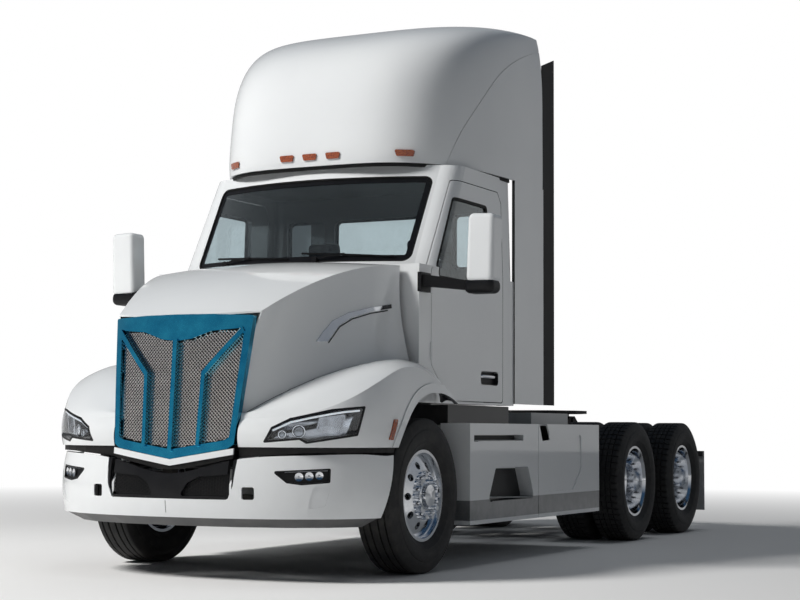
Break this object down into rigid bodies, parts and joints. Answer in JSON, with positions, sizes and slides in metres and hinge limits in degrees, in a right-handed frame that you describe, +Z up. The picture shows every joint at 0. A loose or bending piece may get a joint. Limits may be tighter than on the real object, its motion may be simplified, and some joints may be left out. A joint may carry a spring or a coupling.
{
  "type": "conventional day cab tractor unit",
  "caption": "Day cab semi-trailer tractor: tilting hood, mesh grille, roof fairing, opening doors, steered front axle, tandem drive axles and a tilting fifth wheel.",
  "frame": {"origin": "on the ground, under the middle of the vehicle's length and width", "axes": "+Z up, the front faces -Y, the left (driver's) side is +X"},
  "size_m": [3.1058, 7.2861, 4.0269],
  "materials": {
    "white_paint": "gloss",
    "blue_chrome": "polished",
    "bright_metal": "polished",
    "mesh_metal": "satin",
    "frame_paint": "satin",
    "grey_paint": "satin",
    "cast_parts": "rough",
    "polished_wheel": "polished",
    "tyre": "matt",
    "black_plastic": "matt",
    "grey_plastic": "matt",
    "edge_rubber": "matt",
    "tinted_glass": "clear",
    "lamp_lens": "clear",
    "amber_lens": "gloss",
    "red_lens": "gloss",
    "seat_cloth": "woven",
    "trim_plastic": "grained"
  },
  "bodies": {
    "chassis": {"frame_rails": "frame_paint", "crossmembers": "frame_paint", "frame_brackets": "frame_paint", "front_axle_beam": "cast_parts", "front_springs": "cast_parts", "drive_axles": "cast_parts", "rear_suspension": "cast_parts", "cab_shell": "white_paint", "cab_glass": "tinted_glass", "dashboard": "trim_plastic", "seats": "seat_cloth", "roof_fairing": "white_paint", "roof_markers": "amber_lens", "side_extenders": "white_paint", "extender_edges": "edge_rubber", "front_bumper": "white_paint", "bumper_insert": "black_plastic", "air_dam": "grey_plastic", "fog_lamps": "black_plastic", "step_fairings": "white_paint", "rear_fairings": "white_paint", "energy_boxes": "grey_paint", "power_unit": "cast_parts", "fifth_wheel_bracket": "cast_parts", "mud_flaps": "grey_plastic", "tail_lamps": "red_lens", "deck_plate": "mesh_metal", "mirror_arms": "black_plastic", "mirror_heads": "white_paint"},
    "hood": {"hood_panel": "white_paint", "fenders": "white_paint", "hood_trims": "bright_metal", "hood_seal": "edge_rubber", "headlamps": "black_plastic", "lamp_reflectors": "bright_metal", "headlamp_lenses": "lamp_lens", "side_markers": "amber_lens", "grille_surround": "blue_chrome", "grille_mesh": "mesh_metal"},
    "left_door": {"door_left": "white_paint", "door_glass_left": "tinted_glass"},
    "right_door": {"door_right": "white_paint", "door_glass_right": "tinted_glass"},
    "left_knuckle": {"knuckle_left": "cast_parts"},
    "right_knuckle": {"knuckle_right": "cast_parts"},
    "track_rod": {"tie_rod": "cast_parts"},
    "front_left_wheel": {"tyre_front_left": "tyre", "wheel_front_left": "polished_wheel"},
    "front_right_wheel": {"tyre_front_right": "tyre", "wheel_front_right": "polished_wheel"},
    "mid_left_wheels": {"tyres_mid_left": "tyre", "wheels_mid_left": "polished_wheel"},
    "mid_right_wheels": {"tyres_mid_right": "tyre", "wheels_mid_right": "polished_wheel"},
    "rear_left_wheels": {"tyres_rear_left": "tyre", "wheels_rear_left": "polished_wheel"},
    "rear_right_wheels": {"tyres_rear_right": "tyre", "wheels_rear_right": "polished_wheel"},
    "coupling_plate": {"fifth_wheel_plate": "cast_parts"},
    "hand_wheel": {"steering_wheel": "trim_plastic"}
  },
  "joints": [
    {"name": "hood_tilt", "type": "hinge", "parent": "chassis", "child": "hood", "pos_m": [0, -3.5475, 0.77], "axis": [1, 0, 0], "range_deg": [0, 75]},
    {"name": "left_door_swing", "type": "hinge", "parent": "chassis", "child": "left_door", "pos_m": [1.05, -2.0605, 1.9], "axis": [0, 0, -1], "range_deg": [0, 65]},
    {"name": "right_door_swing", "type": "hinge", "parent": "chassis", "child": "right_door", "pos_m": [-1.05, -2.0605, 1.9], "axis": [0, 0, 1], "range_deg": [0, 65]},
    {"name": "left_steer", "type": "hinge", "parent": "chassis", "child": "left_knuckle", "pos_m": [0.9, -2.3425, 0.508], "axis": [0, 0, 1], "range_deg": [-38, 38]},
    {"name": "right_steer", "type": "hinge", "parent": "chassis", "child": "right_knuckle", "pos_m": [-0.9, -2.3425, 0.508], "axis": [0, 0, 1], "range_deg": [-38, 38]},
    {"name": "track_rod_pivot", "type": "hinge", "parent": "left_knuckle", "child": "track_rod", "pos_m": [0.9, -2.1925, 0.34], "axis": [0, 0, 1], "range_deg": [-38, 38]},
    {"name": "hand_wheel_turn", "type": "hinge", "parent": "chassis", "child": "hand_wheel", "pos_m": [0.43, -1.7122, 1.8], "axis": [0, -1, 0], "range_deg": [-456, 456]},
    {"name": "front_left_spin", "type": "hinge", "parent": "left_knuckle", "child": "front_left_wheel", "pos_m": [1.025, -2.3425, 0.508], "axis": [1, 0, 0], "continuous": true},
    {"name": "front_right_spin", "type": "hinge", "parent": "right_knuckle", "child": "front_right_wheel", "pos_m": [-1.025, -2.3425, 0.508], "axis": [1, 0, 0], "continuous": true},
    {"name": "mid_left_spin", "type": "hinge", "parent": "chassis", "child": "mid_left_wheels", "pos_m": [0.905, 1.6975, 0.508], "axis": [1, 0, 0], "continuous": true},
    {"name": "mid_right_spin", "type": "hinge", "parent": "chassis", "child": "mid_right_wheels", "pos_m": [-0.905, 1.6975, 0.508], "axis": [1, 0, 0], "continuous": true},
    {"name": "rear_left_spin", "type": "hinge", "parent": "chassis", "child": "rear_left_wheels", "pos_m": [0.905, 3.0175, 0.508], "axis": [1, 0, 0], "continuous": true},
    {"name": "rear_right_spin", "type": "hinge", "parent": "chassis", "child": "rear_right_wheels", "pos_m": [-0.905, 3.0175, 0.508], "axis": [1, 0, 0], "continuous": true},
    {"name": "coupling_tilt", "type": "hinge", "parent": "chassis", "child": "coupling_plate", "pos_m": [0, 2.2975, 1.03], "axis": [1, 0, 0], "range_deg": [-10, 12]}
  ],
  "couplings": [
    {"joint": "right_steer", "follows": "left_steer", "ratio": 1},
    {"joint": "track_rod_pivot", "follows": "left_steer", "ratio": -1},
    {"joint": "hand_wheel_turn", "follows": "left_steer", "ratio": 12}
  ]
}
